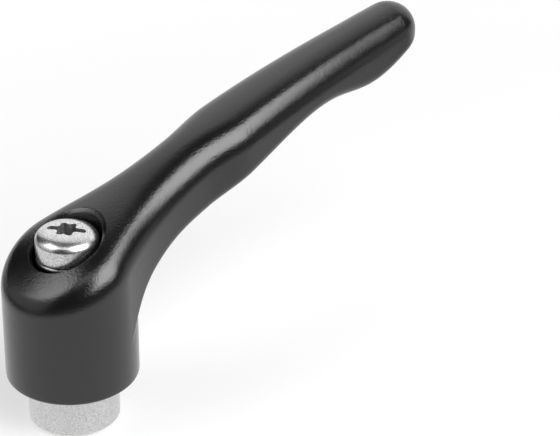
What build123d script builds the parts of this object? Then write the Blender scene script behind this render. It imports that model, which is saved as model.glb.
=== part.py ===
# Adjustable clamping lever with an arm of 82 mm and an M10 female thread.
#
# A threaded steel insert carries a ring of teeth. The lever's hub has the mating teeth inside and drops
# over the insert. A shoulder screw from above holds the lever on, and a spring under the screw's head
# keeps the teeth in mesh. Lifting the lever against the spring frees the teeth, so that it can be turned
# to a new angle without turning the insert.
#
# Millimetres. +Z is up along the thread, z = 0 is the insert's clamping face, and the arm points to +X.

import math
import os

from build123d import *

# Threaded insert
insert_radius = 8.0
insert_height = 16.0
insert_edge = 0.3
stud_bore_radius = 4.25  # tap drill of M10
stud_bore_depth = 9.5

# Teeth between the insert and the hub
tooth_count = 24
tooth_height = 0.9
tooth_length = 4.5
tooth_clearance = 0.25
tooth_inset = 0.1

# Retaining screw
head_radius = 5.55
head_side = 2.6
head_crown_radius = 2.25
shoulder_radius = 3.5
screw_thread_radius = 2.5
screw_thread_length = 5.8
screw_thread_clearance = 0.05
lobe_count = 6
lobe_radius = 0.52
lobe_reach = 1.95
drive_depth = 2.2
slot_length = 6.8
slot_width = 1.15
slot_depth = 0.9
slot_angle = -49.0

# Return spring
wire_diameter = 1.0
spring_length = 12.9
spring_turns = 4.75
spring_inner_gap = 1.0
spring_end_gap = 0.05

# Lever hub
hub_radius = 11.7
hub_bottom = 8.8
hub_edge_radius = 0.6
hub_foot_height = 1.5
collar_clearance = 0.3
seat_gap = 0.1
ledge_thickness = 3.4
shoulder_clearance = 0.15
pocket_clearance = 1.05
lift_travel = 4.6
lift_clearance = 0.4

# Lever arm seen from above
lever_reach = 82.0
neck_half_width = 6.0
neck_blend_radius = 55.0
grip_x = 37.0
grip_half_width = 6.9
tip_radius = 5.2

# Lever arm seen from the side: heights above the hub's bottom
hub_height = 26.3
hub_slope = 0.55
neck_top_x = 26.0
neck_top_height = 35.4
grip_top_x = 52.0
grip_top_height = 41.4
tip_top_height = 45.4
tip_top_slope = 0.075
arm_root_height = 4.5
arm_heel_inset = 2.9
arm_heel_height = 14.0
throat_run = 2.8
throat_height = 18.6
belly_x = 26.0
belly_height = 23.3
palm_x = 41.0
palm_height = 28.9
finger_inset = 23.0
finger_height = 33.9
finger_stop_inset = 14.5
finger_stop_height = 33.2
tip_under_inset = 7.0
tip_under_height = 35.1
tip_base_height = 39.0
top_edge_radius = 4.8
arm_edge_radius = 1.0

# Places that follow from the sizes above
tooth_pitch = 360 / tooth_count
insert_tip_radius = insert_radius - tooth_inset
insert_root_radius = insert_tip_radius - tooth_height
tooth_bottom = insert_height - tooth_length
hub_tooth_bottom = insert_height - lift_travel + lift_clearance
ledge_bottom = insert_height + seat_gap
ledge_top = ledge_bottom + ledge_thickness
head_bottom = ledge_top + spring_length
head_top = head_bottom + head_side + head_crown_radius
spring_bottom = ledge_top + spring_end_gap
spring_top = head_bottom - spring_end_gap
spring_radius = shoulder_radius + spring_inner_gap + wire_diameter / 2
pocket_radius = head_radius + pocket_clearance
arm_far_x = lever_reach + hub_radius
arm_width = 4 * hub_radius
over_arm = 2 * tip_top_height
blend_y = neck_half_width + neck_blend_radius
blend_x = math.sqrt((hub_radius + neck_blend_radius) ** 2 - blend_y**2)
hub_share = hub_radius / (hub_radius + neck_blend_radius)
hub_end = (blend_x * hub_share, blend_y * hub_share)
arm_root_x = 0.85 * hub_end[0]


def tooth_ring(tip_radius, root_radius):
    """Corners of a ring of V teeth with a tip on the X axis."""
    corners = []
    for tooth in range(tooth_count):
        for radius, step in ((tip_radius, tooth), (root_radius, tooth + 0.5)):
            angle = math.radians(step * tooth_pitch)
            corners.append((radius * math.cos(angle), radius * math.sin(angle)))
    return corners


def from_hub(height):
    """Height above the hub's bottom as a height above the clamping face."""
    return hub_bottom + height


# Threaded insert: smooth collar below, ring of teeth above, screw hole through its top
with BuildPart() as threaded_insert:
    with BuildSketch():
        Circle(insert_radius)
    extrude(amount=insert_height)
    chamfer(threaded_insert.edges().sort_by(Axis.Z)[0], insert_edge)
    with BuildSketch(Plane.XY.offset(tooth_bottom)):
        Circle(2 * insert_radius)
        Polygon(*tooth_ring(insert_tip_radius, insert_root_radius), align=None, mode=Mode.SUBTRACT)
    extrude(amount=tooth_length, mode=Mode.SUBTRACT)
    with BuildSketch():
        Circle(stud_bore_radius)
    extrude(amount=stud_bore_depth, mode=Mode.SUBTRACT)
    with BuildSketch():
        Circle(screw_thread_radius + screw_thread_clearance)
    extrude(amount=insert_height, mode=Mode.SUBTRACT)

# Retaining screw: crowned head with a six-lobe recess and a slot, shoulder, end that goes into the insert
with BuildPart() as retaining_screw:
    with BuildSketch(Plane.XZ):
        with BuildLine():
            crown_top = (head_radius - head_crown_radius, head_top)
            crown_side = (head_radius, head_top - head_crown_radius)
            screw_end = insert_height - screw_thread_length
            RadiusArc(crown_top, crown_side, head_crown_radius)
            Polyline(
                crown_side,
                (head_radius, head_bottom),
                (shoulder_radius, head_bottom),
                (shoulder_radius, insert_height),
                (screw_thread_radius, insert_height),
                (screw_thread_radius, screw_end),
                (0, screw_end),
                (0, head_top),
                crown_top,
            )
        make_face()
    revolve(axis=Axis.Z)
    head_face = Plane.XY.offset(head_top).rotated((0, 0, slot_angle))
    with BuildSketch(head_face):
        Circle(lobe_reach - lobe_radius)
        with PolarLocations(lobe_reach - lobe_radius, lobe_count):
            Circle(lobe_radius)
    extrude(amount=-drive_depth, mode=Mode.SUBTRACT)
    with BuildSketch(head_face):
        SlotOverall(slot_length, slot_width)
    extrude(amount=-slot_depth, mode=Mode.SUBTRACT)

# Return spring: round wire with ground ends, from the hub's ledge to the screw's head
with BuildPart() as return_spring:
    with BuildLine(Plane.XY.offset(spring_bottom)):
        spring_rise = spring_top - spring_bottom
        coil = Helix(spring_rise / spring_turns, spring_rise, spring_radius)
    with BuildSketch(Plane(origin=coil @ 0, z_dir=coil % 0)):
        Circle(wire_diameter / 2)
    sweep(is_frenet=True)
    with BuildSketch(Plane.XY.offset(spring_bottom)):
        Circle(2 * spring_radius)
    extrude(amount=spring_rise, mode=Mode.INTERSECT)

# Lever handle: one casting, with the hub over the insert and the arm rising from it
with BuildPart() as lever_handle:
    # Foot of the hub, with its round edge
    with BuildSketch(Plane.XY.offset(hub_bottom)):
        Circle(hub_radius)
    extrude(amount=hub_foot_height)
    fillet(lever_handle.edges().sort_by(Axis.Z)[0], hub_edge_radius)

    # Outline from above: hub, blend into the neck, swell of the grip, taper to the round tip
    with BuildSketch(Plane.XY.offset(from_hub(hub_foot_height))):
        with BuildLine():
            hub_back = hub_radius * math.sqrt(0.5)
            tip_x = lever_reach - tip_radius
            grip_run = math.hypot(tip_x - grip_x, grip_half_width)
            taper = math.asin(tip_radius / grip_run) - math.atan2(grip_half_width, tip_x - grip_x)
            tip_start = (tip_x - tip_radius * math.sin(taper), tip_radius * math.cos(taper))
            ThreePointArc((-hub_radius, 0), (-hub_back, hub_back), hub_end)
            RadiusArc(hub_end, (blend_x, neck_half_width), -neck_blend_radius)
            Spline(
                (blend_x, neck_half_width),
                (grip_x, grip_half_width),
                tangents=[(1, 0), (math.cos(taper), math.sin(taper))],
            )
            Line((grip_x, grip_half_width), tip_start)
            RadiusArc(tip_start, (lever_reach, 0), tip_radius)
            mirror(about=Plane.XZ)
        make_face()
    extrude(amount=over_arm - hub_foot_height, clean=False)
    side_view = Plane.XZ.offset(-arm_width / 2)

    # Top, rising from the hub's low side to the tip, with its round edge all the way round
    with BuildSketch(side_view):
        with BuildLine():
            back_x = -2 * hub_radius
            top = Spline(
                (back_x, from_hub(hub_height + hub_slope * back_x)),
                (0, from_hub(hub_height)),
                (neck_top_x, from_hub(neck_top_height)),
                (grip_top_x, from_hub(grip_top_height)),
                (arm_far_x, from_hub(tip_top_height + tip_top_slope * hub_radius)),
                tangents=[(1, hub_slope), (1, tip_top_slope)],
            )
            Polyline(top @ 0, (back_x, from_hub(over_arm)), (arm_far_x, from_hub(over_arm)), top @ 1)
        make_face()
    extrude(amount=arm_width, mode=Mode.SUBTRACT, clean=False)
    top_face = lever_handle.faces().filter_by(GeomType.EXTRUSION).sort_by(SortBy.AREA)[-1]
    fillet(top_face.edges(), min(top_edge_radius, 0.93 * tip_radius, 0.9 * neck_half_width))

    # Underside, sweeping out of the hub to the palm, then down and up again round the finger stop
    with BuildSketch(side_view):
        with BuildLine():
            under = Spline(
                (arm_root_x, from_hub(arm_root_height)),
                (hub_radius - arm_heel_inset, from_hub(arm_heel_height)),
                (hub_radius + throat_run, from_hub(throat_height)),
                (belly_x, from_hub(belly_height)),
                (palm_x, from_hub(palm_height)),
                (lever_reach - finger_inset, from_hub(finger_height)),
                (lever_reach - finger_stop_inset, from_hub(finger_stop_height)),
                (lever_reach - tip_under_inset, from_hub(tip_under_height)),
                (lever_reach, from_hub(tip_base_height)),
            )
            Polyline(
                under @ 1,
                (arm_far_x, from_hub(tip_base_height)),
                (arm_far_x, from_hub(hub_foot_height)),
                (arm_root_x, from_hub(hub_foot_height)),
                under @ 0,
            )
        make_face()
    extrude(amount=arm_width, mode=Mode.SUBTRACT)
    under_face = lever_handle.faces().filter_by(GeomType.EXTRUSION).sort_by(SortBy.AREA)[-1]
    fillet(under_face.edges().filter_by(lambda edge: (edge @ 0.5).X > arm_root_x + 0.01), arm_edge_radius)
    with BuildSketch(Plane.XY.offset(from_hub(hub_foot_height))):
        Circle(hub_radius)
        Rectangle(hub_radius, 2 * hub_radius, align=(Align.MIN, Align.CENTER), mode=Mode.INTERSECT)
    extrude(amount=throat_height - hub_foot_height)

    # Inside of the hub: collar bore and teeth from below, shoulder hole, pocket for spring and head above
    with BuildSketch(Plane.XY.offset(hub_bottom)):
        Circle(insert_radius + collar_clearance)
    extrude(amount=hub_tooth_bottom - hub_bottom, mode=Mode.SUBTRACT)
    with BuildSketch(Plane.XY.offset(hub_tooth_bottom)):
        Polygon(
            *tooth_ring(insert_tip_radius + tooth_clearance, insert_root_radius + tooth_clearance),
            align=None,
        )
    extrude(amount=ledge_bottom - hub_tooth_bottom, mode=Mode.SUBTRACT)
    with BuildSketch(Plane.XY.offset(ledge_bottom)):
        Circle(shoulder_radius + shoulder_clearance)
    extrude(amount=ledge_thickness, mode=Mode.SUBTRACT)
    with BuildSketch(Plane.XY.offset(ledge_top)):
        Circle(pocket_radius)
    extrude(amount=over_arm, mode=Mode.SUBTRACT)

os.makedirs("parts", exist_ok=True)
for piece, name in (
    (threaded_insert, "threaded_insert"),
    (retaining_screw, "retaining_screw"),
    (return_spring, "return_spring"),
    (lever_handle, "lever_handle"),
):
    piece.part.label = name
    export_step(piece.part, f"parts/{name}.step")
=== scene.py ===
# Adjustable clamping lever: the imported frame, dressed piece by piece.
import bmesh
import bpy
import math
import numpy as np
from mathutils import Matrix, Quaternion, Vector


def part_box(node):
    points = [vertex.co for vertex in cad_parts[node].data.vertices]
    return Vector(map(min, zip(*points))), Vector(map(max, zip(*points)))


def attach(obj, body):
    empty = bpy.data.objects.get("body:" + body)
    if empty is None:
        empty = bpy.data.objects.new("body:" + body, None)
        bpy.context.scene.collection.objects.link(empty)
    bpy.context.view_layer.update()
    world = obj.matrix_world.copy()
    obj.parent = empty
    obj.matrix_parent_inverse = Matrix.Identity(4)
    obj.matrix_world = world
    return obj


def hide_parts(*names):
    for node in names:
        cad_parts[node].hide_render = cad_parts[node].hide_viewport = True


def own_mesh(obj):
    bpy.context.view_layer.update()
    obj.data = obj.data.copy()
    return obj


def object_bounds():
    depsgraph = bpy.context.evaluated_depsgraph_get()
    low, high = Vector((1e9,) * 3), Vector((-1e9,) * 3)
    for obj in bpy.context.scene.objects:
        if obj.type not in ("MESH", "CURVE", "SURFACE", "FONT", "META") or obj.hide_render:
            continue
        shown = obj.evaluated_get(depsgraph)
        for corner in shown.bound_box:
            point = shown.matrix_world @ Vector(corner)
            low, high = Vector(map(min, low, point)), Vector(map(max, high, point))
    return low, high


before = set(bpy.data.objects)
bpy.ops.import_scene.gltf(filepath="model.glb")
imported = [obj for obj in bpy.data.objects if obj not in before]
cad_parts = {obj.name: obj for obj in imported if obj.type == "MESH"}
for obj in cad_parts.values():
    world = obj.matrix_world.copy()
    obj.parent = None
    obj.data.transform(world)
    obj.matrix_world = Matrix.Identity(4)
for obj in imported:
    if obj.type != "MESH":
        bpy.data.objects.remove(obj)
cad_low, cad_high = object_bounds()
mm = 0.001


# Threaded insert: a turned stainless sleeve with an M10 thread cut up into it from its clamping face.
# Its lower half is a plain satin collar, and the ring of 24 V teeth round its top half meshes with the
# lever. It carries every other piece, so it rides on the root body.

weld_distance = 2e-7
round_steps = 192
around_axis = np.linspace(0, 2 * math.pi, round_steps, endpoint=False)


def loop_of(mesh, radii, height):
    """A closed loop of vertices round the thread's axis, in millimetres."""
    radii = np.broadcast_to(radii, round_steps)
    return [
        mesh.verts.new((radius * math.cos(angle) * mm, radius * math.sin(angle) * mm, height * mm))
        for radius, angle in zip(radii, around_axis)
    ]


def band(mesh, first, second, closed=True):
    """Skins the strip between two rows with the same number of vertices."""
    count = len(first)
    for i in range(count if closed else count - 1):
        j = (i + 1) % count
        corners = []
        for vert in (first[i], first[j], second[j], second[i]):
            if vert not in corners:
                corners.append(vert)
        if len(corners) > 2:
            mesh.faces.new(corners)


def turned_wall(mesh, steps):
    """Skins a wall round the thread's axis through steps of radius and height, and returns its loops."""
    loops = [loop_of(mesh, radii, height) for radii, height in steps]
    for loop, next_loop in zip(loops, loops[1:]):
        band(mesh, loop, next_loop)
    return loops


def flat_ring(mesh, outer, inner):
    """Fills the flat ring between two loops that need not have the same number of vertices."""
    edges = []
    for loop in (outer, inner):
        for i, vert in enumerate(loop):
            edges.append(mesh.edges.get((vert, loop[i - 1])) or mesh.edges.new((vert, loop[i - 1])))
    bmesh.ops.triangle_fill(mesh, edges=edges, use_beauty=True)


def finished_piece(name, mesh, sharp_angle):
    """Turns a bmesh into an object whose faces shade smoothly up to an edge of that angle."""
    bmesh.ops.remove_doubles(mesh, verts=mesh.verts, dist=weld_distance)
    bmesh.ops.recalc_face_normals(mesh, faces=mesh.faces)
    data = bpy.data.meshes.new(name)
    mesh.to_mesh(data)
    mesh.free()
    piece = bpy.data.objects.new(name, data)
    bpy.context.collection.objects.link(piece)
    data.shade_smooth()
    data.set_sharp_from_angle(angle=math.radians(sharp_angle))
    return piece


def new_material(name):
    """A material, its nodes and links, and its surface shader."""
    material = bpy.data.materials.new(name)
    material.use_nodes = True
    nodes, links = material.node_tree.nodes, material.node_tree.links
    return material, nodes, links, nodes["Principled BSDF"]


def noise(nodes, links, scale, detail, roughness=0.5):
    """A noise that is fixed to the piece."""
    place = nodes.new("ShaderNodeTexCoord")
    texture = nodes.new("ShaderNodeTexNoise")
    texture.inputs["Scale"].default_value = scale
    texture.inputs["Detail"].default_value = detail
    texture.inputs["Roughness"].default_value = roughness
    links.new(place.outputs["Object"], texture.inputs["Vector"])
    return texture.outputs["Fac"]


def remapped(nodes, links, value, start=0, end=1, low=0, high=1, smooth=False):
    """Takes a value from the range of start to end over to the range of low to high."""
    spread = nodes.new("ShaderNodeMapRange")
    spread.interpolation_type = "SMOOTHSTEP" if smooth else "LINEAR"
    spread.inputs["From Min"].default_value = start
    spread.inputs["From Max"].default_value = end
    spread.inputs["To Min"].default_value = low
    spread.inputs["To Max"].default_value = high
    links.new(value, spread.inputs["Value"])
    return spread.outputs[0]


def two_tone(nodes, links, share, first, second):
    """A colour that goes from the first to the second."""
    tint = nodes.new("ShaderNodeMix")
    tint.data_type = "RGBA"
    tint.inputs["A"].default_value = (*first, 1)
    tint.inputs["B"].default_value = (*second, 1)
    links.new(share, tint.inputs["Factor"])
    return tint.outputs["Result"]


def relief(nodes, links, height, depth, strength, under=None):
    """A relief of that depth in millimetres, over another relief or over none."""
    bump = nodes.new("ShaderNodeBump")
    bump.inputs["Distance"].default_value = depth * mm
    bump.inputs["Strength"].default_value = strength
    links.new(height, bump.inputs["Height"])
    if under:
        links.new(under, bump.inputs["Normal"])
    return bump.outputs[0]


def blasted_steel(name, colour, roughness, grain_depth, contrast):
    """Steel with a fine even grain, in which fine light and dark specks are mixed."""
    material, nodes, links, shader = new_material(name)
    grain = noise(nodes, links, scale=3800, detail=3, roughness=0.7)
    specks = remapped(nodes, links, grain, start=0.3, end=0.7)
    dark = [(1 - contrast) * part for part in colour]
    light = [(1 + contrast) * part for part in colour]
    clouds = noise(nodes, links, scale=260, detail=2)
    dullness = remapped(nodes, links, clouds, low=roughness - 0.05, high=roughness + 0.08)
    links.new(two_tone(nodes, links, specks, dark, light), shader.inputs["Base Color"])
    links.new(dullness, shader.inputs["Roughness"])
    links.new(relief(nodes, links, grain, grain_depth, strength=0.6), shader.inputs["Normal"])
    shader.inputs["Metallic"].default_value = 1
    return material


insert_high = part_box("threaded_insert")[1]
insert_radius = insert_high.x / mm
insert_top = insert_high.z / mm
insert_edge = 0.3
collar_edge = 0.15
tooth_count = 24
tooth_height = 0.9
tooth_length = 4.5
tooth_inset = 0.1
tooth_foot_inset = 0.15
tooth_foot_rise = 0.1
tooth_end_edge = 0.3
thread_pitch = 1.5
thread_core_radius = 4.25
thread_depth = 0.72
thread_length = 9.5
thread_mouth = 0.9
rows_per_pitch = 10
screw_bore_radius = 2.55


def tooth_radii(tips):
    """Radius at each angle of a ring of V teeth, whose tips have that radius, with one on the X axis."""
    flank = np.abs(((around_axis * tooth_count / (2 * math.pi) + 0.5) % 1) - 0.5) * 2
    return tips - tooth_height * flank


sleeve = bmesh.new()
tooth_foot = insert_top - tooth_length
teeth = tooth_radii(insert_radius - tooth_inset)
outside = turned_wall(sleeve, [
    (insert_radius - insert_edge, 0),
    (insert_radius, insert_edge),
    (insert_radius, tooth_foot - collar_edge),
    (insert_radius - collar_edge, tooth_foot),
    (teeth - tooth_foot_inset, tooth_foot),
    (teeth, tooth_foot + tooth_foot_rise),
    (teeth, insert_top - tooth_end_edge),
    (teeth - tooth_end_edge, insert_top),
])
screw_bore = turned_wall(sleeve, [
    (screw_bore_radius, insert_top),
    (screw_bore_radius, thread_length),
    (thread_core_radius, thread_length),
])
flat_ring(sleeve, outside[-1], screw_bore[0])
# The thread is a V groove that climbs one pitch in each turn and dies out at the blind end.
groove_rows = int(thread_length / thread_pitch * rows_per_pitch)
previous = screw_bore[-1]
for row in range(1, groove_rows + 1):
    height = thread_length * (1 - row / groove_rows)
    climb = (height / thread_pitch - around_axis / (2 * math.pi)) % 1
    fade = min(1, (thread_length - height) / thread_pitch)
    groove = thread_depth * fade * (1 - np.abs(climb - 0.5) * 2)
    mouth = max(0, thread_mouth - height)
    current = loop_of(sleeve, thread_core_radius + np.maximum(groove, mouth), height)
    band(sleeve, previous, current)
    previous = current
flat_ring(sleeve, outside[0], previous)
threaded_sleeve = finished_piece("threaded_sleeve", sleeve, sharp_angle=32)
threaded_sleeve.data.materials.append(
    blasted_steel("satin_steel", (0.60, 0.60, 0.60), roughness=0.36, grain_depth=0.02, contrast=0.3)
)
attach(threaded_sleeve, "insert_body")
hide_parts("threaded_insert")


# Lever handle: one zinc die casting, hub and arm together, with a black plastic coating. The coating has
# a fine orange-peel grain and rounds every edge. Every skin line of the mesh starts at the rim of the
# hub's pocket or at the arm's crest, and runs over the top edge, down the side and in underneath.

lever_low, lever_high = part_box("lever_handle")
hub_radius = -lever_low.x / mm
hub_bottom = lever_low.z / mm
lever_reach = lever_high.x / mm
hub_edge_radius = 0.6
neck_half_width = 6.0
neck_blend_radius = 55.0
grip_x = 37.0
grip_half_width = 6.9
tip_radius = 5.2
top_edge_radius = 5.3
tip_edge_radius = 4.8
hub_crown_radius = 26.0
arm_crown_radius = 16.0
throat_edge_radius = 1.0
under_edge_radius = 2.2
finger_stop_radius = 1.8
pocket_radius = 6.1
# The chamfer round the pocket and its softened corners, as steps inward and down
chamfer_steps = [(0, 0), (0.06, 0.02), (0.12, 0.08), (0.58, 0.58), (0.65, 0.68), (0.68, 0.82)]
pocket_floor = 19.5
ledge_bottom = 16.1
tooth_mouth = 11.8
shoulder_hole_radius = 3.65
collar_radius = 8.3
collar_mouth = 0.3
tooth_clearance = 0.25
# Where along X the crown and the edges change from one radius to the next
crown_change = (4.0, 22.0)
throat_change = (8.0, 22.0)
finger_stop_change = (54.0, 67.0)
tip_change = (66.0, 80.0)
# Skin lines beyond these end at the arm's middle, and nearer ones on the pocket's rim or the hub's wall
top_junction_x = 12.0
under_junction_x = 15.0
# Distance between skin lines, and numbers of points along their stretches
line_spacing = 0.5
tip_steps = 24
edge_points = 60
strip_points = 30
top_steps = 34
side_steps = 14
under_steps = 26
foot_steps = 8
foot_edge_steps = 6


def height_curve(points, first_slope, last_slope):
    """A smooth height over X through listed points, as a function."""
    x, z = np.array(points, float).T
    z = z + hub_bottom
    gap = np.diff(x)
    rise = np.diff(z) / gap
    system = np.eye(len(x))
    wanted = np.zeros(len(x))
    wanted[0] = first_slope
    wanted[-1] = last_slope
    for k in range(1, len(x) - 1):
        system[k, k - 1:k + 2] = gap[k], 2 * (gap[k - 1] + gap[k]), gap[k - 1]
        wanted[k] = 3 * (gap[k] * rise[k - 1] + gap[k - 1] * rise[k])
    slopes = np.linalg.solve(system, wanted)

    def height(at):
        k = np.clip(np.searchsorted(x, at) - 1, 0, len(gap) - 1)
        share = (at - x[k]) / gap[k]
        straight = (1 - share) * z[k] + share * z[k + 1]
        start_bend = gap[k] * (slopes[k] - rise[k])
        end_bend = gap[k] * (rise[k] - slopes[k + 1])
        return straight + share * (1 - share) * ((1 - share) * start_bend + share * end_bend)

    return height


# Heights above the hub's bottom, along the crest and along the underside
crest_at = height_curve(
    [(-23.4, 14.6), (0, 27.1), (12, 31.05), (26, 35.6), (52, 41.6), (93.7, 46.38)],
    first_slope=0.55, last_slope=0.075,
)
belly_at = height_curve(
    [
        (4.0, 4.5), (8.8, 14.0), (14.5, 18.6), (26, 22.9), (41, 28.45), (59, 33.75), (67.5, 33.3),
        (75, 35.2), (82, 39.0),
    ],
    first_slope=2.6, last_slope=0.6,
)


def smooth_step(x, start, end):
    """Goes smoothly from 0 at the start to 1 at the end."""
    share = np.clip((x - start) / (end - start), 0, 1)
    return share * share * (3 - 2 * share)


def top_at(x, y):
    """Height of the top, which is crowned across the arm and all round the hub."""
    share = smooth_step(x, *crown_change)
    crown = (1 - share) / (2 * hub_crown_radius) + share / (2 * arm_crown_radius)
    return crest_at(x) - crown * y * y - np.minimum(x, 0) ** 2 / (2 * hub_crown_radius)


def under_at(x, y):
    """Height of the underside, which is straight across, so that it is the same for every Y."""
    return belly_at(x)


def side_outline():
    """Points and outward normals of the +Y half of the outline seen from above, from tip to hub's back,
    and the number of the point where the hub's own round begins."""
    tip_x = lever_reach - tip_radius
    run = math.hypot(tip_x - grip_x, grip_half_width)
    taper = math.asin(tip_radius / run) - math.atan2(grip_half_width, tip_x - grip_x)
    blend_y = neck_half_width + neck_blend_radius
    blend_x = math.sqrt((hub_radius + neck_blend_radius) ** 2 - blend_y**2)
    hub_angle = math.atan2(blend_y, blend_x)
    places, outward = [], []
    # Round tip
    for angle in np.linspace(0, math.pi / 2 + taper, tip_steps):
        places.append((tip_x + tip_radius * math.cos(angle), tip_radius * math.sin(angle)))
        outward.append((math.cos(angle), math.sin(angle)))
    # Straight side of the grip
    start_x, start_y = places[-1]
    steps = int((start_x - grip_x) / line_spacing)
    for share in np.linspace(0, 1, steps)[1:]:
        places.append((start_x + (grip_x - start_x) * share, start_y + (grip_half_width - start_y) * share))
        outward.append((-math.sin(taper), math.cos(taper)))
    # Side of the arm, which narrows from the grip to the neck
    length = grip_x - blend_x
    swell = grip_half_width - neck_half_width
    narrowing = math.tan(taper)
    for share in np.linspace(1, 0, int(length / line_spacing))[1:]:
        y = neck_half_width + swell * smooth_step(share, 0, 1) + length * narrowing * (share**3 - share**2)
        slope = swell * 6 * share * (1 - share) / length + narrowing * (3 * share**2 - 2 * share)
        places.append((blend_x + length * share, y))
        outward.append((-slope / math.hypot(1, slope), 1 / math.hypot(1, slope)))
    # Hollow blend from the neck to the hub
    steps = int(neck_blend_radius * (math.pi / 2 - hub_angle) / line_spacing)
    for angle in np.linspace(math.pi / 2, hub_angle, steps)[1:]:
        places.append((
            blend_x - neck_blend_radius * math.cos(angle),
            blend_y - neck_blend_radius * math.sin(angle),
        ))
        outward.append((math.cos(angle), math.sin(angle)))
    # Round side and back of the hub
    hub_start = len(places) - 1
    steps = int(hub_radius * (math.pi - hub_angle) / line_spacing)
    for angle in np.linspace(hub_angle, math.pi, steps)[1:]:
        places.append((hub_radius * math.cos(angle), hub_radius * math.sin(angle)))
        outward.append((math.cos(angle), math.sin(angle)))
    return np.array(places), np.array(outward), hub_start


def rolled_edge(place, outward, radius, surface, up):
    """Round edge left by a ball that rolls between the side and the top or underside."""
    centre = place - radius * outward
    contact = centre
    nearby = 0.01
    rounds = 8
    for _ in range(rounds):
        x, y = contact
        tilt_x = (surface(x + nearby, y) - surface(x - nearby, y)) / (2 * nearby)
        tilt_y = (surface(x, y + nearby) - surface(x, y - nearby)) / (2 * nearby)
        lean = math.sqrt(1 + tilt_x**2 + tilt_y**2)
        contact = centre - up * radius * np.array([tilt_x, tilt_y]) / lean
    start = np.array([outward[0], outward[1], 0.0])
    end = np.array([-tilt_x, -tilt_y, 1]) * up / lean
    middle = np.array([centre[0], centre[1], surface(*contact) - up * radius / lean])
    sweep = math.acos(np.clip(start @ end, -1, 1))
    share = np.linspace(0, 1, edge_points)[:, None]
    turned = (np.sin((1 - share) * sweep) * start + np.sin(share * sweep) * end) / math.sin(sweep)
    return middle + radius * turned


def carried_on(path, target, surface):
    """Adds to a rolled edge the strip of top or underside that runs on to a target."""
    share = np.linspace(0, 1, strip_points)[1:, None]
    flat = path[-1, :2] + share * (target - path[-1, :2])
    strip = np.column_stack([flat, surface(flat[:, 0], flat[:, 1])])
    return np.vstack([path, strip])


def stopped_at(path, radius):
    """The path, cut where it comes nearer to the thread's axis than a radius."""
    away = np.hypot(path[:, 0], path[:, 1])
    inside = np.nonzero(away < radius - 1e-9)[0]
    if len(inside) == 0:
        return path
    k = inside[0]
    if k == 0:
        return np.vstack([path[0], path[0]])
    share = (away[k - 1] - radius) / (away[k - 1] - away[k])
    return np.vstack([path[:k], path[k - 1] + share * (path[k] - path[k - 1])])


def even_steps(path, count):
    """The same path with evenly spaced points."""
    walked = np.concatenate([[0], np.cumsum(np.linalg.norm(np.diff(path, axis=0), axis=1))])
    if walked[-1] < 1e-9:
        return np.repeat(path[:1], count, axis=0)
    steps = np.linspace(0, walked[-1], count)
    return np.column_stack([np.interp(steps, walked, path[:, axis]) for axis in range(3)])


places, outward, hub_start = side_outline()
line_count = len(places)


def faded(first, last, start, end):
    """A radius for each skin line, which changes smoothly from one value to another along X."""
    return first + (last - first) * smooth_step(places[:, 0], start, end)


def inward_paths(radii, surface, up, ring_radius, junction_x):
    """For as many skin lines as there are radii, the path in from the side, and the number of the line
    at the junction: lines before it end on the arm's middle, and the rest on a ring round the axis."""
    rolled = [
        rolled_edge(place, normal, radius, surface, up)
        for place, normal, radius in zip(places, outward, radii)
    ]
    ends = np.array([path[-1] for path in rolled])
    angles = np.arctan2(ends[:, 1], ends[:, 0])
    reach = np.hypot(ends[:, 0], ends[:, 1])
    junction = int(np.nonzero(ends[:hub_start + 1, 0] > junction_x)[0][-1]) + 1
    cut = np.nonzero(reach[:hub_start + 1] < ring_radius)[0]
    first_cut = int(cut[0]) if len(cut) else hub_start
    paths = []
    for i, path in enumerate(rolled):
        if i < junction:
            # The grip's lines go straight in; only the neck's are drawn towards the ring.
            pull = np.clip((grip_x - ends[i, 0]) / (grip_x - ends[junction, 0]), 0, 1) ** 2
            middle_x = ends[i, 0] + pull * (ring_radius - ends[junction, 0])
            target = np.array([middle_x, 0.0])
        else:
            angle = angles[i]
            if i < first_cut:
                share = (angles[i] - angles[junction]) / (angles[first_cut] - angles[junction])
                angle = share * angles[first_cut]
            target = ring_radius * np.array([math.cos(angle), math.sin(angle)])
        if i < first_cut or reach[i] > ring_radius:
            path = carried_on(path, target, surface)
        if i >= junction:
            path = stopped_at(path, ring_radius)
        paths.append(path)
    return paths, junction


rim_radius = pocket_radius + chamfer_steps[-1][0]
top_radii = faded(top_edge_radius, tip_edge_radius, *tip_change)
top_paths, top_junction = inward_paths(top_radii, top_at, 1, rim_radius, top_junction_x)
under_radii = faded(throat_edge_radius, under_edge_radius, *throat_change)
under_radii += faded(0, finger_stop_radius - under_edge_radius, *finger_stop_change)
under_paths, under_junction = inward_paths(
    under_radii[:hub_start + 1], under_at, -1, hub_radius, under_junction_x
)
casting = bmesh.new()


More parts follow.
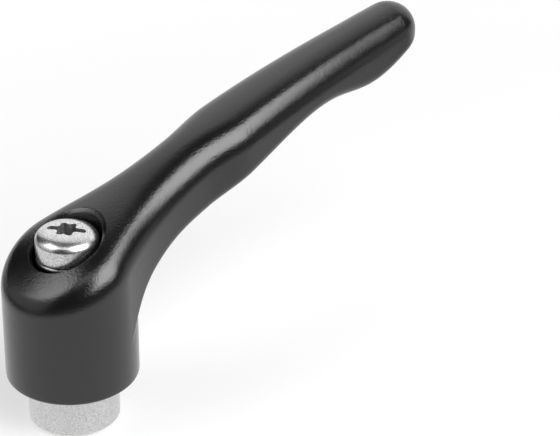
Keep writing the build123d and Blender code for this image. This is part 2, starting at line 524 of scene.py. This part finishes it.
def skin_line(i, side):
    """Vertices of one skin line, on the +Y or the -Y side of the lever: those over the top, down the side
    and in underneath, those down into the pocket, and those down to the hub's foot."""
    def vertices(points):
        return [casting.verts.new((x * mm, y * side * mm, z * mm)) for x, y, z in points]

    place_x, place_y = places[i]
    top = even_steps(top_paths[i], top_steps)
    under = even_steps(under_paths[min(i, hub_start)], under_steps)
    side_top, side_end = top[0][2], under[0][2]
    shares = np.linspace(0, 1, side_steps)[1:-1]
    wall = [(place_x, place_y, side_top + (side_end - side_top) * share) for share in shares]
    if i > hub_start:
        under = np.array([(place_x, place_y, side_end)] * under_steps)
    skin = list(top[::-1]) + wall + list(under)
    rim = []
    if i >= top_junction:
        end_x, end_y, end_z = top[-1]
        away = math.hypot(end_x, end_y)
        for step, drop in chamfer_steps:
            closer = 1 - step / away
            rim.append((end_x * closer, end_y * closer, end_z - drop))
        rim.append((*rim[-1][:2], pocket_floor))
    foot = []
    if i > hub_start or i >= under_junction:
        x, y, z = under[-1]
        angle = math.atan2(y, x)
        wall_end = hub_bottom + hub_edge_radius
        for share in np.linspace(0, 1, foot_steps):
            foot.append((x, y, z + (wall_end - z) * share))
        for turn in np.linspace(0, math.pi / 2, foot_edge_steps)[1:]:
            radius = hub_radius - hub_edge_radius * (1 - math.cos(turn))
            height = wall_end - hub_edge_radius * math.sin(turn)
            foot.append((radius * math.cos(angle), radius * math.sin(angle), height))
    return vertices(skin), vertices(rim), vertices(foot)


order = [(i, 1) for i in range(line_count)] + [(i, -1) for i in range(line_count - 2, 0, -1)]
lines = [skin_line(i, side) for i, side in order]
for line, next_line in zip(lines, lines[1:] + lines[:1]):
    for stretch, next_stretch in zip(line, next_line):
        if stretch and next_stretch:
            band(casting, stretch, next_stretch, closed=False)
bmesh.ops.remove_doubles(casting, verts=casting.verts, dist=weld_distance)


def open_loop(height):
    """Vertices of the open edge at a height, in order round the axis."""
    found = {v for e in casting.edges if e.is_boundary for v in e.verts if abs(v.co.z - height * mm) < 1e-7}
    return sorted(found, key=lambda v: math.atan2(v.co.y, v.co.x))


pocket_loop = open_loop(pocket_floor)
bottom_loop = open_loop(hub_bottom)
shoulder_hole = turned_wall(casting, [
    (shoulder_hole_radius, pocket_floor),
    (shoulder_hole_radius, ledge_bottom),
])
flat_ring(casting, pocket_loop, shoulder_hole[0])
mating_teeth = tooth_radii(insert_radius - tooth_inset + tooth_clearance)
tooth_ring = turned_wall(casting, [
    (mating_teeth, ledge_bottom),
    (mating_teeth, tooth_mouth),
])
flat_ring(casting, tooth_ring[0], shoulder_hole[-1])
collar_bore = turned_wall(casting, [
    (collar_radius, tooth_mouth),
    (collar_radius, hub_bottom + collar_mouth),
    (collar_radius + collar_mouth, hub_bottom),
])
flat_ring(casting, collar_bore[0], tooth_ring[-1])
flat_ring(casting, bottom_loop, collar_bore[-1])
coated_lever = finished_piece("coated_lever", casting, sharp_angle=38)

coating, nodes, links, shader = new_material("black_plastic_coating")
peel = noise(nodes, links, scale=3000, detail=2)
waves = noise(nodes, links, scale=420, detail=2)
tint = two_tone(nodes, links, peel, (0.004, 0.004, 0.0044), (0.007, 0.007, 0.0074))
links.new(tint, shader.inputs["Base Color"])
links.new(remapped(nodes, links, waves, low=0.17, high=0.22), shader.inputs["Roughness"])
wave_relief = relief(nodes, links, waves, depth=0.01, strength=0.5)
peel_relief = relief(nodes, links, peel, depth=0.085, strength=0.6, under=wave_relief)
links.new(peel_relief, shader.inputs["Normal"])
shader.inputs["IOR"].default_value = 1.58
coated_lever.data.materials.append(coating)
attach(coated_lever, "lever_body")
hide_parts("lever_handle")


# Return spring: round stainless wire, coiled between the floor of the hub's pocket and the underside of
# the screw's head. Its end turns are closed and ground flat. It shortens as the lever is lifted.

spring_low, spring_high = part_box("return_spring")
wire_radius = 0.5
coil_radius = spring_high.x / mm - wire_radius
spring_bottom = spring_low.z / mm
spring_top = spring_high.z / mm
active_turns = 3.4
closed_turns = 1.1
closed_gap = 0.02
# Share of the closed turns' pitch by which the wire's centre starts below the ground face
ground_share = 0.45
wire_steps = 14
turn_steps = 72

coil = bmesh.new()
spring_span = spring_top - spring_bottom
total_turns = active_turns + 2 * closed_turns
closed_pitch = 2 * wire_radius + closed_gap
active_height = spring_span - 2 * closed_pitch * (closed_turns - ground_share)
rings = []
for step in range(int(total_turns * turn_steps) + 1):
    turns = step / turn_steps
    before = min(turns, closed_turns)
    active = min(max(turns - closed_turns, 0), active_turns)
    after = max(turns - closed_turns - active_turns, 0)
    height = closed_pitch * (before + after - ground_share) + active_height * active / active_turns
    angle = 2 * math.pi * turns
    ring = []
    for wire_step in range(wire_steps):
        wire_angle = 2 * math.pi * wire_step / wire_steps
        radius = coil_radius + wire_radius * math.cos(wire_angle)
        z = spring_bottom + height + wire_radius * math.sin(wire_angle)
        z = min(max(z, spring_bottom), spring_top)
        ring.append(coil.verts.new((radius * math.cos(angle) * mm, radius * math.sin(angle) * mm, z * mm)))
    if rings:
        band(coil, rings[-1], ring)
    rings.append(ring)
coil.faces.new(rings[0])
coil.faces.new(rings[-1])
wire_coil = finished_piece("wire_coil", coil, sharp_angle=50)
wire_coil.data.materials.append(
    blasted_steel("drawn_wire", (0.40, 0.40, 0.39), roughness=0.28, grain_depth=0.004, contrast=0.2)
)
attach(wire_coil, "spring_body")
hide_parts("return_spring")
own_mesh(wire_coil)


# Retaining screw: stainless, with a crowned pan head, a six-lobe recess crossed by a closed-end slot, and
# a plain shoulder that the lever turns and lifts on. It holds the whole stack down on the insert.

screw_low, screw_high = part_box("retaining_screw")
head_radius = screw_high.x / mm
head_top = screw_high.z / mm
screw_end = screw_low.z / mm
head_side = 2.95
head_crown_width = 3.3
head_crown_height = 1.9
crown_steps = 20
head_foot_edge = 0.25
shoulder_radius = 3.5
shoulder_edge = 0.2
screw_thread_radius = 2.5
screw_end_edge = 0.4
lobe_count = 6
lobe_reach = 2.25
lobe_valley = 0.72 * lobe_reach
lobe_fullness = 0.8
lobe_steps = 24
drive_depth = 2.2
slot_length = 6.9
slot_width = 1.15
slot_depth = 0.9
slot_end_steps = 16
slot_angle = math.radians(-55)
drive_edge = 0.07
cutter_rise = 1.0
face_margin = 0.1

turning = bmesh.new()
head_bottom = head_top - head_crown_height - head_side
flat_radius = head_radius - head_crown_width
profile = [(0.0, head_top), (flat_radius / 2, head_top)]
for angle in np.linspace(0, math.pi / 2, crown_steps):
    profile.append((
        flat_radius + head_crown_width * math.sin(angle),
        head_top - head_crown_height * (1 - math.cos(angle)),
    ))
profile += [
    (head_radius, head_bottom + head_foot_edge),
    (head_radius - head_foot_edge, head_bottom),
    (shoulder_radius, head_bottom),
    (shoulder_radius, insert_top + shoulder_edge),
    (shoulder_radius - shoulder_edge, insert_top),
    (screw_thread_radius, insert_top),
    (screw_thread_radius, screw_end + screw_end_edge),
    (screw_thread_radius - screw_end_edge, screw_end),
    (0.0, screw_end),
]
previous = None
for radius, height in profile:
    if radius == 0:
        current = [turning.verts.new((0, 0, height * mm))] * round_steps
    else:
        current = loop_of(turning, radius, height)
    if previous:
        band(turning, previous, current)
    previous = current
shoulder_screw = finished_piece("shoulder_screw", turning, sharp_angle=30)


def drive_cutter(name, outline, depth):
    """A prism that sinks an outline into the head's flat top, turned to the slot's angle."""
    cutter = bmesh.new()
    rows = []
    for height in (head_top + cutter_rise, head_top - depth):
        rows.append([
            cutter.verts.new((
                (x * math.cos(slot_angle) - y * math.sin(slot_angle)) * mm,
                (x * math.sin(slot_angle) + y * math.cos(slot_angle)) * mm,
                height * mm,
            ))
            for x, y in outline
        ])
    band(cutter, rows[0], rows[1])
    cutter.faces.new(rows[0])
    cutter.faces.new(rows[1])
    return finished_piece(name, cutter, sharp_angle=30)


def apply_modifier(piece, modifier):
    """Works a modifier into the piece's mesh."""
    with bpy.context.temp_override(object=piece, active_object=piece):
        bpy.ops.object.modifier_apply(modifier=modifier.name)


slot_outline = []
for end in (1, -1):
    for angle in np.linspace(-math.pi / 2, math.pi / 2, slot_end_steps):
        slot_outline.append((
            end * ((slot_length - slot_width) / 2 + slot_width / 2 * math.cos(angle)),
            end * slot_width / 2 * math.sin(angle),
        ))
lobe_outline = []
for step in range(lobe_count * lobe_steps):
    angle = 2 * math.pi * step / (lobe_count * lobe_steps)
    wave = 0.5 + 0.5 * math.cos(lobe_count * angle)
    reach = lobe_valley + (lobe_reach - lobe_valley) * wave**lobe_fullness
    lobe_outline.append((reach * math.cos(angle), reach * math.sin(angle)))
for name, outline, depth in (("slot", slot_outline, slot_depth), ("lobes", lobe_outline, drive_depth)):
    cutter = drive_cutter(name, outline, depth)
    sink = shoulder_screw.modifiers.new(name, "BOOLEAN")
    sink.operation = "DIFFERENCE"
    sink.solver = "EXACT"
    sink.object = cutter
    apply_modifier(shoulder_screw, sink)
    bpy.data.objects.remove(cutter)
soften = shoulder_screw.modifiers.new("softened_edges", "BEVEL")
soften.width = drive_edge * mm
soften.segments = 2
soften.limit_method = "ANGLE"
soften.angle_limit = math.radians(50)
apply_modifier(shoulder_screw, soften)
shoulder_screw.data.shade_smooth()
shoulder_screw.data.set_sharp_from_angle(angle=math.radians(40))
shoulder_screw.data.materials.clear()
shoulder_screw.data.materials.append(
    blasted_steel("bright_steel", (0.62, 0.62, 0.62), roughness=0.26, grain_depth=0.008, contrast=0.5)
)
# A second, darker steel paints the shade inside the drive.
shoulder_screw.data.materials.append(
    blasted_steel("painted_shade_steel", (0.24, 0.24, 0.24), roughness=0.50, grain_depth=0.010, contrast=0.4)
)
# The drive's faces, below the crown of the head, get a darker, rougher copy of the steel: painted shade for
# the shade that falls down in the recess and the slot.
for face in shoulder_screw.data.polygons:
    x, y, z = [part / mm for part in face.center]
    from_axis = math.hypot(x, y)
    slump = min(1, max(0, from_axis - flat_radius) / head_crown_width)
    crown_z = head_top - head_crown_height * (1 - math.sqrt(1 - slump**2))
    above_floor = z > head_top - drive_depth - face_margin
    if above_floor and z < crown_z - face_margin and from_axis < slot_length / 2:
        face.material_index = 1
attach(shoulder_screw, "insert_body")
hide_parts("retaining_screw")


# Setting: a white sweep under the lever, soft studio lamps, and a long lens that looks down on the hub
# from its low side, along the rising arm.

floor_size = 3.0
floor_gap = 0.0005
floor_grey = 0.9
shadow_share = 0.6
lit_centre = (0.030, 0, 0)
lit_reach = (0.180, 0.130, 1)
backward = (0.82, 0.57, 0)
sweep_direction = (0.742, 0.52, 0.423)
lever_middle = Vector((0.03, 0, 0.03))


def worked_out(nodes, links, operation, first, second):
    """One value from two, the second of which may be a plain number."""
    result = nodes.new("ShaderNodeMath")
    result.operation = operation
    links.new(first, result.inputs[0])
    if isinstance(second, float):
        result.inputs[1].default_value = second
    else:
        links.new(second, result.inputs[1])
    return result.outputs[0]


def distance_along(nodes, links, place, direction):
    """How far a place, or a direction of view, reaches along another direction."""
    reach = nodes.new("ShaderNodeVectorMath")
    reach.operation = "DOT_PRODUCT"
    reach.inputs[1].default_value = direction
    links.new(place, reach.inputs[0])
    return reach.outputs["Value"]


def seen_rays(nodes, links, path_kind):
    """1 where the camera looks, straight or through gloss or glass, and 0 where the object is lit."""
    camera_ray, glossy_ray = path_kind.outputs["Is Camera Ray"], path_kind.outputs["Is Glossy Ray"]
    straight_or_gloss = worked_out(nodes, links, "MAXIMUM", camera_ray, glossy_ray)
    return worked_out(nodes, links, "MAXIMUM", straight_or_gloss, path_kind.outputs["Is Transmission Ray"])


def shown_instead(nodes, links, share, lit, shown, output):
    """Sends what is lit to the output, and what is shown in its place for that share."""
    mix = nodes.new("ShaderNodeMixShader")
    links.new(share, mix.inputs[0])
    links.new(lit, mix.inputs[1])
    links.new(shown, mix.inputs[2])
    links.new(mix.outputs[0], output.inputs["Surface"])


floor_mesh = bmesh.new()
bmesh.ops.create_grid(floor_mesh, x_segments=1, y_segments=1, size=floor_size)
floor = finished_piece("white_floor", floor_mesh, sharp_angle=30)
floor.location.z = cad_low.z - floor_gap
white, nodes, links, shader = new_material("white_floor")
shader.inputs["Base Color"].default_value = (floor_grey, floor_grey, floor_grey, 1)
shader.inputs["Roughness"].default_value = 0.9
# In the lever's own gloss the floor is white only round its foot, and falls off into the dark room.
place = nodes.new("ShaderNodeTexCoord")
spot = nodes.new("ShaderNodeMapping")
spot.vector_type = "TEXTURE"
spot.inputs["Location"].default_value = lit_centre
spot.inputs["Scale"].default_value = lit_reach
links.new(place.outputs["Object"], spot.inputs["Vector"])
round_spot = nodes.new("ShaderNodeTexGradient")
round_spot.gradient_type = "SPHERICAL"
links.new(spot.outputs[0], round_spot.inputs["Vector"])
around_foot = remapped(nodes, links, round_spot.outputs["Fac"], end=0.35, low=0.15, smooth=True)
# Behind the lever it stays white, out to where it turns up into the sweep.
behind = distance_along(nodes, links, place.outputs["Object"], backward)
behind_lever = remapped(nodes, links, behind, start=0.04, end=0.14, smooth=True)
white_in_gloss = worked_out(nodes, links, "MAXIMUM", around_foot, behind_lever)
path_kind = nodes.new("ShaderNodeLightPath")
camera_ray = path_kind.outputs["Is Camera Ray"]
glow = nodes.new("ShaderNodeEmission")
links.new(worked_out(nodes, links, "MAXIMUM", camera_ray, white_in_gloss), glow.inputs["Strength"])
# Round the foot the camera also sees the lit floor itself, which keeps the lever's soft shadow.
near_foot = worked_out(nodes, links, "MULTIPLY", round_spot.outputs["Fac"], shadow_share)
near_seen = worked_out(nodes, links, "MULTIPLY", near_foot, camera_ray)
glow_share = worked_out(nodes, links, "SUBTRACT", seen_rays(nodes, links, path_kind), near_seen)
shown_instead(nodes, links, glow_share, shader.outputs[0], glow.outputs[0], nodes["Material Output"])
floor.data.materials.append(white)

world = bpy.data.worlds.new("studio")
bpy.context.scene.world = world
world.use_nodes = True
nodes, links = world.node_tree.nodes, world.node_tree.links
room = nodes["Background"]
room.inputs["Color"].default_value = (1, 1, 1, 1)
room.inputs["Strength"].default_value = 0.05
# The white sweep behind the lever shows in its gloss as well, and the room in front stays dark.
place = nodes.new("ShaderNodeTexCoord")
facing = distance_along(nodes, links, place.outputs["Generated"], sweep_direction)
sweep = remapped(nodes, links, facing, start=0.62, end=0.75, low=0.02, smooth=True)
path_kind = nodes.new("ShaderNodeLightPath")
backdrop = nodes.new("ShaderNodeBackground")
backdrop.inputs["Color"].default_value = (1, 1, 1, 1)
strength = worked_out(nodes, links, "MAXIMUM", path_kind.outputs["Is Camera Ray"], sweep)
links.new(strength, backdrop.inputs["Strength"])
seen = seen_rays(nodes, links, path_kind)
shown_instead(nodes, links, seen, room.outputs[0], backdrop.outputs[0], nodes["World Output"])


def softbox(name, azimuth, elevation, distance, size, power, tilt=0):
    """A rectangular lamp that faces the middle of the lever, from so many degrees round from +X and up."""
    data = bpy.data.lights.new(name, "AREA")
    data.shape = "RECTANGLE"
    data.size, data.size_y = size
    data.energy = power
    lamp = bpy.data.objects.new(name, data)
    bpy.context.collection.objects.link(lamp)
    level = math.cos(math.radians(elevation))
    away = Vector((
        level * math.cos(math.radians(azimuth)),
        level * math.sin(math.radians(azimuth)),
        math.sin(math.radians(elevation)),
    ))
    lamp.location = lever_middle + away * distance
    lamp.rotation_mode = "QUATERNION"
    lamp.rotation_quaternion = (-away).to_track_quat("-Z", "Y") @ Quaternion((0, 0, 1), math.radians(tilt))
    lamp.visible_camera = False


softbox(
    "front_softbox", azimuth=-79.5, elevation=40.5, distance=0.6, size=(0.50, 0.50), power=5.6, tilt=-14
)
softbox("high_softbox", azimuth=-146, elevation=62, distance=0.6, size=(0.30, 0.16), power=0.24)
softbox("back_softbox", azimuth=40, elevation=34, distance=0.7, size=(0.90, 0.56), power=0.30)
softbox("left_softbox", azimuth=155, elevation=46, distance=0.6, size=(0.34, 0.30), power=1.3)
softbox("low_left_softbox", azimuth=150, elevation=14, distance=0.7, size=(0.84, 0.44), power=0.72)

camera_azimuth = math.radians(43.09)
camera_elevation = math.radians(30.24)
camera_roll = math.radians(0.25)
camera_distance = 524.6
aim_right = 36.33
aim_up = 33.9
right = Vector((math.cos(camera_azimuth), -math.sin(camera_azimuth), 0))
level = Vector((math.sin(camera_azimuth), math.cos(camera_azimuth), 0))
upward = level * math.sin(camera_elevation) + Vector((0, 0, math.cos(camera_elevation)))
ahead = level * math.cos(camera_elevation) - Vector((0, 0, math.sin(camera_elevation)))
rolled_right = right * math.cos(camera_roll) - upward * math.sin(camera_roll)
rolled_up = right * math.sin(camera_roll) + upward * math.cos(camera_roll)
lens = bpy.data.cameras.new("studio_camera")
lens.lens = 191.2
lens.sensor_width = 36.0
lens.clip_start = 0.05
lens.clip_end = 20.0
camera = bpy.data.objects.new("studio_camera", lens)
bpy.context.collection.objects.link(camera)
camera.location = (right * aim_right + upward * aim_up - ahead * camera_distance) * mm
camera.rotation_mode = "QUATERNION"
camera.rotation_quaternion = Matrix((rolled_right, rolled_up, -ahead)).transposed().to_quaternion()
bpy.context.scene.camera = camera
bpy.context.scene.view_settings.view_transform = "Standard"
